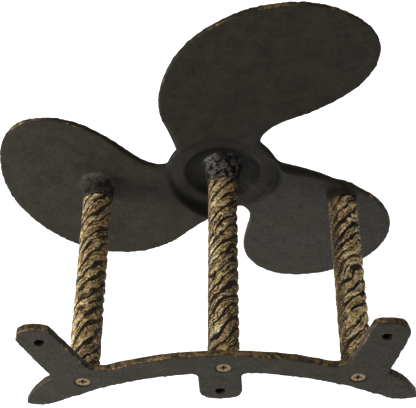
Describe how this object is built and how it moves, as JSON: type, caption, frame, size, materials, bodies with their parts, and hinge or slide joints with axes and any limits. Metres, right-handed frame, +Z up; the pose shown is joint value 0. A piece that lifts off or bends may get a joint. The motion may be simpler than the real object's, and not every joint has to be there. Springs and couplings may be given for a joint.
{
  "type": "garden hose holder",
  "caption": "Wall-mounted hose holder: a cast-iron ship's propeller carried on rope-twist posts by an arched wall bracket with anchor flukes; a hose coil hangs over the posts.",
  "frame": {"origin": "centre of the lower mounting hole of the wall bracket, on its wall face", "axes": "+Z up as the holder hangs, +Y into the wall, +X to the right of a person who faces the holder"},
  "size_m": [0.3264, 0.2109, 0.3413],
  "materials": {
    "bracket_iron": "dark matt paint on cast iron, edges rubbed bronze",
    "propeller_iron": "dark matt paint on cast iron",
    "gilded_rope": "cast iron painted dark, gold rubbed on the high strands",
    "antique_brass": "antique brass plate, dulled",
    "stud_steel": "plain steel"
  },
  "bodies": {
    "root": {"wall_bracket": "bracket_iron", "propeller": "propeller_iron", "left_rope_post": "gilded_rope", "centre_rope_post": "gilded_rope", "right_rope_post": "gilded_rope", "left_screw": "antique_brass", "centre_screw": "antique_brass", "right_screw": "antique_brass", "left_stud": "stud_steel", "centre_stud": "stud_steel", "right_stud": "stud_steel"}
  },
  "joints": []
}
